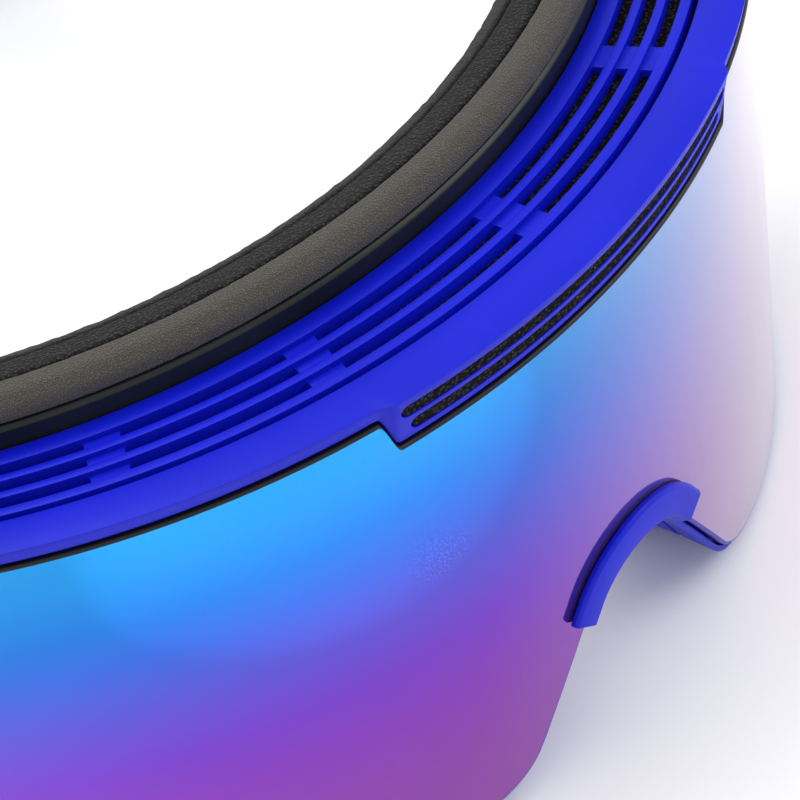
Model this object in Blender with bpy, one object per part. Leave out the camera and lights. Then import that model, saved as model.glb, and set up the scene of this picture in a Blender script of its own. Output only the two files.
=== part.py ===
"""Ski goggles: a cylindrical mirrored lens in a vented two-part frame, with layered face foam and a strap.

Lengths are in metres. The goggles face -Y, X runs across the face and Z is up. The frame is drawn on
the unrolled front of the goggles: arc is the way round from the middle, height is measured up from the
frame's flat top, and depth is measured from the front edge towards the face.
"""
from math import atan2, cos, pi, radians, sin, sqrt

import bmesh
import bpy
from mathutils import Matrix, Vector
from mathutils.geometry import interpolate_bezier

MM = 0.001

# Driving dimensions of the frame and lens
FRONT_RADIUS = 100 * MM        # plan radius of the front edge of the frame
LENS_LEAN = 0.083              # how far the front leans back for each unit of drop
LEAN_TURN = 0.65               # how much of that lean turns inward with the front's curve
LOBE_HEIGHT = -78.8 * MM       # the lowest part of the lens, below the cheeks
SIDE_TAPER = 0.55              # how much shallower the frame becomes towards the temples
FRAME_DEPTH = 20.6 * MM        # front edge to the back of the rear frame, in the middle
TOP_EDGE = 2.2 * MM            # the frame's top above the lens edge
RIM_EDGE = 1.2 * MM            # the rim's width outside the lens edge along the bottom
RIM_FRONT = 2.0 * MM           # the rim's front along the bottom, just behind the front of the lens
NOSE_FLARE = 0.2               # how fast the bottom edge draws in under the lens towards the face
GAP = 0.3 * MM                 # clearance between touching pieces
RELEASE_GAP = 1.0 * MM         # parting line between the lens cassette and the rear frame

BAND_DEPTH = 7.0 * MM          # the wide band on top of the front frame
BAND_WALL = 1.8 * MM
REAR_WALL = 2.2 * MM
REAR_FRONT = BAND_DEPTH + RELEASE_GAP
LENS_FRONT = 1.0 * MM
LENS_THICKNESS = 1.2 * MM
LENS_EDGE_GAP = 0.6 * MM       # the dark line between the lens and the frame's front edge
SEAL_THICKNESS = 0.6 * MM
LEDGE_THICKNESS = 0.8 * MM
LEDGE_WIDTH = 2.8 * MM
SPACER_THICKNESS = 3.2 * MM
SPACER_WIDTH = 2.0 * MM
INNER_LENS_THICKNESS = 0.8 * MM

# Vents
RIB_WIDTH = 1.2 * MM
SLOT_WIDTH = 2.0 * MM
OUTER_RIB = 1.4 * MM
SLOT_ROWS = 3
BRIDGES = [radians(angle) for angle in (-37.2, -20.3, 0, 20.3, 37.2)]
BRIDGE_WIDTH = 5.0 * MM
BRIDGE_DROP = 0.8 * MM
BRIDGE_STEP = 0.05 * MM        # how much lower each row's bridges lie than those of the row in front
GROOVE_MARGIN = 0.15 * MM      # how much wider than its slots each shallow groove is
GRILLE_END = radians(50)
GRILLE_THICKNESS = 4.2 * MM
FRONT_VENT_HALF = 32.3 * MM    # half length of the lowered vent above the middle of the lens
FRONT_VENT_STEP = 2.2 * MM
FRONT_VENT_DROP = 5.1 * MM
FRONT_VENT_PROUD = 0.9 * MM    # how far the vent's front edge stands out from the rest of the band
FRONT_SLOT_HEIGHT = 2.0 * MM
FRONT_SLOTS = ((-2.35 * MM, 31.8 * MM), (-5.15 * MM, 30.6 * MM))    # height and half length of each

# Face foam
CARRIER_THICKNESS = 1.6 * MM
BASE_FOAM = 3.7 * MM
MIDDLE_FOAM = 4.2 * MM
FLEECE = 2.8 * MM
FOAM_BULGE = 9.0 * MM          # how far the foam stands outside the lens edge along the top
FOAM_INSET = 4.5 * MM

# Outriggers, strap and adjusters
SIDE_HEIGHT = -35 * MM         # height of the outriggers' middle
HINGE_X = 89.5 * MM
HINGE_Y = -24 * MM
KNUCKLE_RADIUS = 3.2 * MM
KNUCKLE_HEIGHT = 11 * MM
LUG_HEIGHT = 22 * MM
PIN_RADIUS = 1.2 * MM
ARM_THICKNESS = 3.2 * MM
ARM_INNER_X = 90.5 * MM
ARM_END_Y = 13 * MM
ARM_END_HEIGHT = 46 * MM
BAR_WIDTH = 4 * MM
WINDOW_WIDTH = 4 * MM
WINDOW_HEIGHT = 41.5 * MM
COVER_THICKNESS = 1.2 * MM
STRAP_WIDTH = 40 * MM
STRAP_THICKNESS = 1.6 * MM
STRAP_START_Y = 24.3 * MM
STRAP_STRAIGHT_Y = 70 * MM
STRAP_BACK_Y = 150 * MM
STRAP_SQUARENESS = 2.5
ADJUSTER_Y = 45 * MM
ADJUSTER_LENGTH = 15 * MM
ADJUSTER_WALL = 1.8 * MM

# The floor under the goggles, which stand on the rim below the lens and the back of the strap
FLOOR = LOBE_HEIGHT - RIM_EDGE
STRAP_DROP = SIDE_HEIGHT - STRAP_WIDTH / 2 - FLOOR
MIDDLE_Y = (STRAP_BACK_Y + STRAP_THICKNESS / 2 - FRONT_RADIUS) / 2

MATERIALS = {
    "blue_frame": ((0.010, 0.020, 0.60), 0.35, 0.0),
    "mirror_lens": ((0.10, 0.25, 0.75), 0.05, 0.6),
    "clear_lens": ((0.60, 0.62, 0.66), 0.05, 0.0),
    "black_rubber": ((0.018, 0.020, 0.022), 0.55, 0.0),
    "base_foam": ((0.095, 0.088, 0.078), 0.95, 0.0),
    "dark_foam": ((0.030, 0.030, 0.032), 0.98, 0.0),
    "filter_foam": ((0.012, 0.012, 0.013), 0.98, 0.0),
    "steel": ((0.55, 0.55, 0.56), 0.25, 1.0),
    "strap": ((0.015, 0.020, 0.16), 0.85, 0.0),
    "silicone": ((0.020, 0.020, 0.024), 0.45, 0.0),
    "black_plastic": ((0.016, 0.016, 0.018), 0.40, 0.0),
}


# ---------------------------------------------------------------- scene helpers

def clear_scene():
    for obj in list(bpy.data.objects):
        bpy.data.objects.remove(obj)


def new_collection(name, hidden=False):
    collection = bpy.data.collections.new(name)
    bpy.context.scene.collection.children.link(collection)
    collection.hide_render = hidden
    return collection


def material(name, owner):
    """A Principled material of its own for each object."""
    color, roughness, metallic = MATERIALS[name]
    made = bpy.data.materials.new(f"{owner}_{name}")
    made.use_nodes = True
    shader = made.node_tree.nodes["Principled BSDF"]
    shader.inputs["Base Color"].default_value = (*color, 1)
    shader.inputs["Roughness"].default_value = roughness
    shader.inputs["Metallic"].default_value = metallic
    return made


def add_object(name, bm, finish=None, origin=Vector()):
    """Turns a bmesh into a named object whose origin sits at the given point of the goggles."""
    bmesh.ops.recalc_face_normals(bm, faces=bm.faces)
    if bm.calc_volume(signed=True) < 0:
        bmesh.ops.reverse_faces(bm, faces=bm.faces)
    shift = world(origin)
    bmesh.ops.translate(bm, verts=bm.verts, vec=-shift)
    mesh = bpy.data.meshes.new(name)
    bm.to_mesh(mesh)
    bm.free()
    obj = bpy.data.objects.new(name, mesh)
    obj.location = shift
    if finish is None:
        cutters.objects.link(obj)
        obj.hide_render = True
        obj.display_type = "WIRE"
    else:
        goggles.objects.link(obj)
        mesh.materials.append(material(finish, name))
    return obj


def combine(obj, tool, operation):
    modifier = obj.modifiers.new(f"{operation.lower()}_{tool.name}", "BOOLEAN")
    modifier.operation = operation
    modifier.object = tool
    modifier.solver = "EXACT"


# ---------------------------------------------------------------- places on the goggles

def world(point):
    """Design coordinates, measured from the top of the frame, to the frame of the whole object."""
    return Vector((point[0], point[1] - MIDDLE_Y, point[2] - FLOOR))


def place(arc, height, depth):
    """A point of the frame from its way round, its height and its depth."""
    angle = arc / FRONT_RADIUS
    taper = 1 - SIDE_TAPER * (1 - cos(angle))
    inward = min(depth, FRAME_DEPTH) * taper + max(depth - FRAME_DEPTH, 0)
    radius = FRONT_RADIUS - inward
    lean = LENS_LEAN * height
    turned = LEAN_TURN * angle
    x = radius * sin(angle) + lean * sin(turned)
    y = -radius * cos(angle) - lean * cos(turned)
    return world((x, y, height))


class Station:
    """A point of the lens outline with its outward direction on the unrolled front."""

    def __init__(self, before, here, after):
        along = (after - before).normalized()
        self.arc, self.height = here
        self.outward = Vector((-along.y, along.x))

    def at(self, out, depth):
        return place(self.arc + out * self.outward.x, self.height + out * self.outward.y, depth)

    def upper(self):
        """1 along the top and the upper sides, falling smoothly to 0 along the bottom and the nose."""
        if abs(self.arc) < 60 * MM:
            return 1.0 if self.height > -20 * MM else 0.0
        share = min(max((self.height + 66 * MM) / (26 * MM), 0), 1)
        return share * share * (3 - 2 * share)

    def vent(self):
        """1 over the front vent in the middle of the top, 0 elsewhere."""
        if self.height < -20 * MM:
            return 0.0
        return min(max((FRONT_VENT_HALF + FRONT_VENT_STEP - abs(self.arc)) / FRONT_VENT_STEP, 0), 1)


def bezier(start, handle_in, handle_out, end, steps):
    points = interpolate_bezier(*(Vector((*p, 0)) for p in (start, handle_in, handle_out, end)), steps + 1)
    return [Vector((p.x, p.y)) for p in points[:-1]]


def straight(start, end, steps):
    first, last = Vector(start), Vector(end)
    return [first.lerp(last, i / steps) for i in range(steps)]


def half_outline():
    """The lens outline from the middle of the top, round the right side, to the top of the nose arch."""
    top = -TOP_EDGE
    corner, side, lobe = (86 * MM, top), (112 * MM, -38 * MM), (49 * MM, LOBE_HEIGHT)
    inner, notch, bridge_end = (28.4 * MM, -76.9 * MM), (21.2 * MM, -72.2 * MM), (10.7 * MM, -56.5 * MM)
    arch_radius, arch_middle = 11.3 * MM, -61.0 * MM
    first = radians(33.8)
    arch_start = (arch_radius * cos(first), arch_middle + arch_radius * sin(first))
    points = straight((0, top), (FRONT_VENT_HALF, top), 6)
    points += straight((FRONT_VENT_HALF, top), (FRONT_VENT_HALF + FRONT_VENT_STEP, top), 1)
    points += straight((FRONT_VENT_HALF + FRONT_VENT_STEP, top), corner, 9)
    points += bezier(corner, (102 * MM, top), (112 * MM, -16 * MM), side, 7)
    points += bezier(side, (112 * MM, -60 * MM), (80 * MM, LOBE_HEIGHT), lobe, 11)
    points += bezier(lobe, (41 * MM, LOBE_HEIGHT), (34 * MM, -78.4 * MM), inner, 5)
    points += bezier(inner, (25.4 * MM, -76.1 * MM), (22.8 * MM, -74.6 * MM), notch, 4)
    points += straight(notch, bridge_end, 3)
    points += straight(bridge_end, arch_start, 1)
    for i in range(5):
        angle = first + (pi / 2 - first) * i / 5
        points.append(Vector((arch_radius * cos(angle), arch_middle + arch_radius * sin(angle))))
    points.append(Vector((0, arch_middle + arch_radius)))
    return points


def make_stations():
    right = half_outline()
    left = [Vector((-p.x, p.y)) for p in reversed(right[1:-1])]
    loop = right + left
    count = len(loop)
    return [Station(loop[i - 1], loop[i], loop[(i + 1) % count]) for i in range(count)]


# ---------------------------------------------------------------- solids

def sweep(rows, closed):
    """A skin over rows of points: a closed loop of rows, or an open run of rows with capped ends."""
    bm = bmesh.new()
    count, around = len(rows), len(rows[0])
    steps = count if closed else count - 1
    bmesh.ops.create_grid(bm, x_segments=steps, y_segments=around, size=0.5)
    for vert in bm.verts:
        row = round((vert.co.x + 0.5) * steps) % count
        column = round((vert.co.y + 0.5) * around) % around
        vert.co = rows[row][column]
    bmesh.ops.remove_doubles(bm, verts=bm.verts, dist=1e-6)
    if not closed:
        bmesh.ops.holes_fill(bm, edges=[edge for edge in bm.edges if edge.is_boundary])
    return bm


def ring(section, some=None):
    """A rim that follows the lens outline. section gives (outward, depth) corners for a station."""
    rows = [[station.at(out, depth) for out, depth in section(station)] for station in some or stations]
    return sweep(rows, closed=some is None)


def sector(arc_from, arc_to, heights, depths, steps):
    """A block that follows the front's curve between two arcs, with a square section."""
    low, high = heights
    front, back = depths
    rows = []
    for i in range(steps + 1):
        arc = arc_from + (arc_to - arc_from) * i / steps
        corners = ((low, front), (high, front), (high, back), (low, back))
        rows.append([place(arc, height, depth) for height, depth in corners])
    return sweep(rows, closed=False)


def lens_plate(inset, front, thickness):
    """A curved plate that fills the lens outline, inset from it, cut into upright strips that bend."""
    bm = bmesh.new()
    outline = []
    for station in stations:
        out = lip_end(station) - inset(station)
        outline.append((station.arc + out * station.outward.x, station.height + out * station.outward.y, 0))
    face = bm.faces.new([bm.verts.new(point) for point in outline])
    extruded = bmesh.ops.extrude_face_region(bm, geom=[face])["geom"]
    back = [item for item in extruded if isinstance(item, bmesh.types.BMVert)]
    bmesh.ops.translate(bm, verts=back, vec=(0, 0, thickness))
    pitch, reach = 5 * MM, 22
    for i in range(-reach, reach + 1):
        geometry = bm.verts[:] + bm.edges[:] + bm.faces[:]
        bmesh.ops.bisect_plane(bm, geom=geometry, plane_co=(i * pitch, 0, 0), plane_no=(1, 0, 0), dist=1e-6)
    for vert in bm.verts:
        vert.co = place(vert.co.x, vert.co.y, front + vert.co.z)
    return bm


def prism(outline, direction, start, end):
    """A flat outline pushed along X or Z between two levels."""
    bm = bmesh.new()
    if direction == "X":
        corners = [Vector((start, a, b)) for a, b in outline]
        push = Vector((end - start, 0, 0))
    else:
        corners = [Vector((a, b, start)) for a, b in outline]
        push = Vector((0, 0, end - start))
    face = bm.faces.new([bm.verts.new(world(corner)) for corner in corners])
    extruded = bmesh.ops.extrude_face_region(bm, geom=[face])["geom"]
    far = [item for item in extruded if isinstance(item, bmesh.types.BMVert)]
    bmesh.ops.translate(bm, verts=far, vec=push)
    return bm


def cylinder(middle, radius, length, segments=20):
    bm = bmesh.new()
    bmesh.ops.create_cone(bm, cap_ends=True, segments=segments, radius1=radius, radius2=radius,
                          depth=length, matrix=Matrix.Translation(world(middle)))
    return bm


def rounded(outline, radius, steps=4):
    """An outline with each corner replaced by an arc-like curve."""
    points = []
    count = len(outline)
    for i in range(count):
        corner = Vector(outline[i])
        before = corner + (Vector(outline[i - 1]) - corner).normalized() * radius
        after = corner + (Vector(outline[(i + 1) % count]) - corner).normalized() * radius
        points += bezier(before, before.lerp(corner, 0.55), after.lerp(corner, 0.55), after, steps)
        points.append(after)
    return points


# ---------------------------------------------------------------- lens cassette

def lip_end(station):
    """How far out the front frame's lip stops: on the lens edge, and lower over the front vent."""
    return 0.2 * MM * station.upper() - FRONT_VENT_DROP * station.vent()


def frame_edge(station, depth):
    """How far the frame stands outside the lens outline: round the bottom it draws in behind the lens."""
    bottom = RIM_EDGE - NOSE_FLARE * (min(depth, FRAME_DEPTH) - RIM_FRONT)
    return bottom + (TOP_EDGE - bottom) * station.upper()


def front_frame_section(station):
    """A lip in front of the lens edge along the top; along the bottom, a rim just behind the lens."""
    upper, vent = station.upper(), station.vent()
    ledge_front = LENS_FRONT + LENS_THICKNESS + SEAL_THICKNESS + 2 * GAP
    ledge_back = ledge_front + LEDGE_THICKNESS
    crease = RIM_FRONT + (0.8 * MM - FRONT_VENT_PROUD * vent - RIM_FRONT) * upper
    face = RIM_FRONT + (1.25 * MM - RIM_FRONT) * upper
    edge, edge_back = frame_edge(station, RIM_FRONT), frame_edge(station, BAND_DEPTH)
    lip = lip_end(station) + GAP * (1 - upper)
    inner = lip_end(station) - LEDGE_WIDTH
    return [(edge, crease), (edge_back, BAND_DEPTH), (edge_back - BAND_WALL, BAND_DEPTH),
            (edge_back - BAND_WALL, ledge_back), (inner, ledge_back), (inner, ledge_front),
            (lip, ledge_front), (lip, face)]


def front_slot_cutter(level, half_length):
    """A long slot with rounded ends through the front vent, its middle at the given height."""
    tip = FRONT_SLOT_HEIGHT / 2
    flat = half_length - tip
    ends = [flat + tip * sin(radians(angle)) for angle in (30, 60, 85)]
    arcs = [-arc for arc in reversed(ends)] + [flat * i / 6 for i in range(-6, 7)] + ends
    rows = []
    for arc in arcs:
        past = max(abs(arc) - flat, 0)
        half = sqrt(tip * tip - past * past)
        corners = ((-half, -2 * MM), (half, -2 * MM), (half, 4.4 * MM), (-half, 4.4 * MM))
        rows.append([place(arc, level + rise, depth) for rise, depth in corners])
    return sweep(rows, closed=False)


def make_front_frame():
    frame = add_object("front_frame", ring(front_frame_section), "blue_frame")
    for i, (level, half_length) in enumerate(FRONT_SLOTS):
        slot = add_object(f"front_slot_{i + 1}", front_slot_cutter(level, half_length))
        combine(frame, slot, "DIFFERENCE")


def seal_section(station):
    front = LENS_FRONT + LENS_THICKNESS + GAP
    outer = lip_end(station) - GAP * (2 - station.upper())
    inner = lip_end(station) - LEDGE_WIDTH
    return [(outer, front), (outer, front + SEAL_THICKNESS), (inner, front + SEAL_THICKNESS), (inner, front)]


def spacer_section(station):
    front = LENS_FRONT + LENS_THICKNESS + GAP
    outer = lip_end(station) - LEDGE_WIDTH - GAP
    inner = outer - SPACER_WIDTH
    back = front + SPACER_THICKNESS
    return [(outer, front), (outer, back), (inner, back), (inner, front)]


def nose_bridge_section(station):
    """A hooked crescent: broad over the lens at the top of the arch, narrow at its two ends."""
    reach = min(abs(station.arc) / (10.5 * MM), 1)
    cover = 3.9 * MM + 0.5 * MM * (1 - reach * reach)
    front, back = -0.4 * MM, LENS_FRONT - GAP
    hook, hook_back = 0.35 * MM, RIM_FRONT - GAP
    return [(-cover, back), (-cover, front + 0.35 * MM), (0.45 * MM - cover, front), (0.2 * MM, front),
            (RIM_EDGE, hook_back), (hook, hook_back), (hook, back)]


def make_cassette():
    make_front_frame()
    outer = lens_plate(lambda s: LENS_EDGE_GAP * s.upper(), LENS_FRONT, LENS_THICKNESS)
    add_object("outer_lens", outer, "mirror_lens")
    inset = LEDGE_WIDTH + GAP
    behind = LENS_FRONT + LENS_THICKNESS + SPACER_THICKNESS + 2 * GAP
    add_object("inner_lens", lens_plate(lambda s: inset, behind, INNER_LENS_THICKNESS), "clear_lens")
    add_object("lens_seal", ring(seal_section), "black_rubber")
    add_object("lens_spacer", ring(spacer_section), "filter_foam")
    arch = [s for s in stations if s.height < -48 * MM and abs(s.arc) < 10.9 * MM]
    add_object("nose_bridge", ring(nose_bridge_section, arch), "blue_frame")
    half = FRONT_VENT_HALF - 1.5 * MM
    strip = sector(-half, half, (-7.0 * MM, -2.1 * MM), (4.6 * MM, 6.4 * MM), 12)
    add_object("front_vent_filter", strip, "filter_foam")


# ---------------------------------------------------------------- rear frame and vents

def rear_wall(station):
    """The rear frame's wall: as thick as the grille along the top, thinner round the bottom."""
    return REAR_WALL + (GRILLE_THICKNESS - REAR_WALL) * station.upper()


def rear_frame_section(station):
    front, back = frame_edge(station, REAR_FRONT), frame_edge(station, FRAME_DEPTH)
    wall = rear_wall(station)
    return [(front, REAR_FRONT), (back, FRAME_DEPTH), (back - wall, FRAME_DEPTH), (front - wall, REAR_FRONT)]


def slot_depths(row):
    """Front and back of a slot row, counted from the front of the goggles."""
    front = REAR_FRONT + OUTER_RIB + row * (SLOT_WIDTH + RIB_WIDTH)
    return front, front + SLOT_WIDTH


def cut_grille(frame):
    """Three rows of through slots; the bridges between them lie a little below the ribs."""
    end, half_bridge = GRILLE_END * FRONT_RADIUS, BRIDGE_WIDTH / 2
    middles = [bridge * FRONT_RADIUS for bridge in BRIDGES]
    starts = [-end] + [middle + half_bridge for middle in middles]
    stops = [middle - half_bridge for middle in middles] + [end]
    for row in range(SLOT_ROWS):
        depths = slot_depths(row)
        margins = (depths[0] - GROOVE_MARGIN, depths[1] + GROOVE_MARGIN)
        reach = end + 4 * GROOVE_MARGIN
        heights = (-BRIDGE_DROP - row * BRIDGE_STEP, 2 * MM)
        groove = sector(-reach, reach, heights, margins, 34)
        combine(frame, add_object(f"groove_{row + 1}", groove), "DIFFERENCE")
        for bay, (start, stop) in enumerate(zip(starts, stops)):
            slot = sector(start, stop, (-8 * MM, 1 * MM), depths, round((stop - start) / (5 * MM)))
            combine(frame, add_object(f"slot_{row + 1}_{bay + 1}", slot), "DIFFERENCE")


def lug_outline(side):
    """Plan of the hinge lug: a foot inside the frame's end and a round eye about the hinge pin."""
    points = [(79.0, -34.8), (83.4, -36.8)]
    eye = [(HINGE_X / MM + 3.2 * cos(radians(a)), HINGE_Y / MM + 3.2 * sin(radians(a)))
           for a in range(-30, 151, 20)]
    return [(side * x * MM, y * MM) for x, y in points + eye]


def add_lug(frame, side, name):
    half = LUG_HEIGHT / 2
    low, high = SIDE_HEIGHT - half, SIDE_HEIGHT + half
    lug = add_object(f"lug_{name}", prism(lug_outline(side), "Z", low, high))
    combine(frame, lug, "UNION")
    hinge = Vector((side * HINGE_X, HINGE_Y, SIDE_HEIGHT))
    gap = cylinder(hinge, KNUCKLE_RADIUS + 1.0 * MM, KNUCKLE_HEIGHT + 2 * GAP, 24)
    combine(frame, add_object(f"knuckle_gap_{name}", gap), "DIFFERENCE")
    bore = cylinder(hinge, PIN_RADIUS + GAP, LUG_HEIGHT + 4 * MM, 16)
    combine(frame, add_object(f"lug_bore_{name}", bore), "DIFFERENCE")


def make_rear_frame():
    frame = add_object("rear_frame", ring(rear_frame_section), "blue_frame")
    add_lug(frame, 1, "right")
    add_lug(frame, -1, "left")
    cut_grille(frame)
    reach = GRILLE_END * FRONT_RADIUS - 2 * MM
    under = -GRILLE_THICKNESS - GAP
    first, last = slot_depths(0)[0] - 0.6 * MM, slot_depths(SLOT_ROWS - 1)[1] + 0.8 * MM
    strip = sector(-reach, reach, (under - 2.5 * MM, under), (first, last), 24)
    add_object("top_vent_filter", strip, "filter_foam")


# ---------------------------------------------------------------- magnets across the parting line

def near(arc, height):
    """The stations of one short magnet, from the outline's station nearest to a place."""
    distances = [(s.arc - arc) ** 2 + (s.height - height) ** 2 for s in stations]
    middle = distances.index(min(distances))
    return [stations[(middle + step) % len(stations)] for step in (-1, 0, 1)]


def magnet_section(front, back, thickness):
    def section(station):
        wall = BAND_WALL if front < BAND_DEPTH else rear_wall(station)
        top = frame_edge(station, back) - wall - GAP
        return [(top, front), (top, back), (top - thickness, back), (top - thickness, front)]
    return section


def make_magnets():
    places = {"upper_right": (104, -13), "lower_right": (48, -78.5),
              "upper_left": (-104, -13), "lower_left": (-48, -78.5)}
    for name, (arc, height) in places.items():
        some = near(arc * MM, height * MM)
        cassette_side = magnet_section(4.6 * MM, BAND_DEPTH - 0.2 * MM, 0.9 * MM)
        frame_side = magnet_section(REAR_FRONT + 0.2 * MM, REAR_FRONT + 2.2 * MM, 2 * MM)
        add_object(f"cassette_magnet_{name}", ring(cassette_side, some), "steel")
        add_object(f"frame_magnet_{name}", ring(frame_side, some), "steel")


# ---------------------------------------------------------------- face foam

def foam_shift(station):
    """How far the foam draws in with the frame round the nose and cheeks."""
    return frame_edge(station, FRAME_DEPTH) - RIM_EDGE - (TOP_EDGE - RIM_EDGE) * station.upper()


def foam_ring(section):
    """A layer of the face foam, its section shifted in with the frame."""
    return ring(lambda s: [(out + foam_shift(s), depth) for out, depth in section(s)])


def bulge(station):
    """How far the foam stands outside the frame's edge line: most along the top, least at the nose."""
    return 1.6 * MM + (FOAM_BULGE - 1.6 * MM) * station.upper()


def carrier_section(station):
    front = FRAME_DEPTH + GAP
    back = front + CARRIER_THICKNESS
    rim = 1.0 * MM + 4.2 * MM * station.upper()
    inner = -FOAM_INSET + 1 * MM
    return [(inner, front), (rim - 0.6 * MM, front), (rim, front + 0.6 * MM), (rim, back), (inner, back)]


def base_foam_section(station):
    upper, out = station.upper(), bulge(station)
    front = FRAME_DEPTH + 2 * GAP + CARRIER_THICKNESS
    back = front + BASE_FOAM - 1.6 * MM
    lip_front = front - 0.05 * MM - (CARRIER_THICKNESS + 0.15 * MM) * upper
    lip_under = 1.0 * MM + 4.2 * MM * upper + GAP
    shoulder = max(out - 1.6 * MM, lip_under + 0.1 * MM)
    return [(-FOAM_INSET, front), (lip_under, front), (lip_under, lip_front), (shoulder, lip_front),
            (out, lip_front + 1.4 * MM), (out, back), (-FOAM_INSET, back)]


def layer_section(start, thickness, drop_front, drop_back):
    """A flat layer of foam behind the base, its outer edge falling away towards the face."""
    def section(station):
        out = bulge(station)
        front = FRAME_DEPTH + 3 * GAP + BASE_FOAM + start
        fall = 0.4 + 0.6 * station.upper()
        return [(-FOAM_INSET, front), (out - drop_front * fall, front),
                (out - drop_back * fall, front + thickness), (-FOAM_INSET, front + thickness)]
    return section


def make_face_foam():
    add_object("foam_carrier", foam_ring(carrier_section), "black_rubber")
    add_object("foam_base", foam_ring(base_foam_section), "base_foam")
    middle = layer_section(0, MIDDLE_FOAM, 0.2 * MM, 1.2 * MM)
    add_object("foam_middle", foam_ring(middle), "dark_foam")
    fleece = layer_section(MIDDLE_FOAM + GAP, FLEECE, 1.3 * MM, 3.0 * MM)
    add_object("face_fleece", foam_ring(fleece), "dark_foam")


# ---------------------------------------------------------------- outriggers

def arm_outline():
    """Side view of an outrigger: narrow at the hinge, flared to the strap's width at the bar."""
    start, flare_start, flare_end = HINGE_Y + 1.5 * MM, HINGE_Y + 4.5 * MM, -2 * MM
    narrow, wide, corner = KNUCKLE_HEIGHT / 2, ARM_END_HEIGHT / 2, 2.5 * MM
    middle = SIDE_HEIGHT
    lower = [Vector((start, middle - narrow))]
    lower += bezier((flare_start, middle - narrow), (flare_start + 6 * MM, middle - narrow),
                    (flare_end - 7 * MM, middle - wide), (flare_end, middle - wide), 6)
    lower.append(Vector((flare_end, middle - wide)))
    lower.append(Vector((ARM_END_Y - corner, middle - wide)))
    lower.append(Vector((ARM_END_Y, middle - wide + corner)))
    upper = [Vector((p.x, 2 * middle - p.y)) for p in reversed(lower)]
    return lower + upper


def make_outrigger(side, name):
    hinge = Vector((side * HINGE_X, HINGE_Y, SIDE_HEIGHT))
    inner, outer = side * ARM_INNER_X, side * (ARM_INNER_X + ARM_THICKNESS)
    arm = add_object(f"outrigger_{name}", prism(arm_outline(), "X", inner, outer), "blue_frame", hinge)
    knuckle = add_object(f"knuckle_{name}", cylinder(hinge, KNUCKLE_RADIUS, KNUCKLE_HEIGHT))
    combine(arm, knuckle, "UNION")
    bore = add_object(f"arm_bore_{name}", cylinder(hinge, PIN_RADIUS + GAP, LUG_HEIGHT, 16))
    combine(arm, bore, "DIFFERENCE")
    back = ARM_END_Y - BAR_WIDTH
    low, high = SIDE_HEIGHT - WINDOW_HEIGHT / 2, SIDE_HEIGHT + WINDOW_HEIGHT / 2
    window_plan = [(back - WINDOW_WIDTH, low), (back, low), (back, high), (back - WINDOW_WIDTH, high)]
    window = add_object(f"window_{name}", prism(window_plan, "X", side * 85 * MM, side * 100 * MM))
    combine(arm, window, "DIFFERENCE")
    cover_x = side * (ARM_INNER_X + ARM_THICKNESS + GAP)
    cover_plan = rounded([(-17 * MM, SIDE_HEIGHT - 5 * MM), (-3 * MM, SIDE_HEIGHT - 15 * MM),
                          (3.5 * MM, SIDE_HEIGHT - 15 * MM), (3.5 * MM, SIDE_HEIGHT + 15 * MM),
                          (-3 * MM, SIDE_HEIGHT + 15 * MM), (-17 * MM, SIDE_HEIGHT + 5 * MM)], 2 * MM)
    cover = prism(cover_plan, "X", cover_x, cover_x + side * COVER_THICKNESS)
    add_object(f"outrigger_cover_{name}", cover, "black_plastic", hinge)
    pin = cylinder(hinge, PIN_RADIUS, LUG_HEIGHT - 0.4 * MM, 14)
    add_object(f"hinge_pin_{name}", pin, "steel", hinge)


# ---------------------------------------------------------------- strap

def strap_middle_x():
    return ARM_INNER_X + ARM_THICKNESS / 2


def strap_height(y):
    """Height of the strap's middle line: it falls evenly from the outriggers to the floor behind."""
    return SIDE_HEIGHT - STRAP_DROP * (y - STRAP_START_Y) / (STRAP_BACK_Y - STRAP_START_Y)


def strap_path():
    """Plan points of the strap's middle line, from the right side round the back to the left."""
    x = strap_middle_x()
    points = [Vector((x, STRAP_START_Y + (STRAP_STRAIGHT_Y - STRAP_START_Y) * i / 4)) for i in range(4)]
    steps = 34
    back = STRAP_BACK_Y - STRAP_STRAIGHT_Y
    for i in range(steps + 1):
        angle = pi * i / steps
        flat = abs(cos(angle)) ** (2 / STRAP_SQUARENESS)
        across = x * flat * (1 if cos(angle) >= 0 else -1)
        points.append(Vector((across, STRAP_STRAIGHT_Y + back * sin(angle) ** (2 / STRAP_SQUARENESS))))
    points += [Vector((-p.x, p.y)) for p in reversed(points[:4])]
    return points


def strap_rows(inner, outer, low, high):
    """Rows for a band that follows the strap: inner and outer are offsets from its middle surface."""
    path = strap_path()
    rows = []
    for i, point in enumerate(path):
        before, after = path[max(i - 1, 0)], path[min(i + 1, len(path) - 1)]
        along = (after - before).normalized()
        outward = Vector((along.y, -along.x))
        height = strap_height(point.y)
        corners = ((inner, low), (outer, low), (outer, high), (inner, high))
        rows.append([world((*(point + outward * off), height + rise)) for off, rise in corners])
    return rows


def make_strap():
    half, wide = STRAP_THICKNESS / 2, STRAP_WIDTH / 2
    add_object("strap_band", sweep(strap_rows(-half, half, -wide, wide), False), "strap")
    for name, level in (("upper", 9 * MM), ("lower", -9 * MM)):
        rows = strap_rows(-half - GAP - 0.5 * MM, -half - GAP, level - 1.5 * MM, level + 1.5 * MM)
        add_object(f"strap_grip_{name}", sweep(rows[6:-6], False), "silicone")


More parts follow.
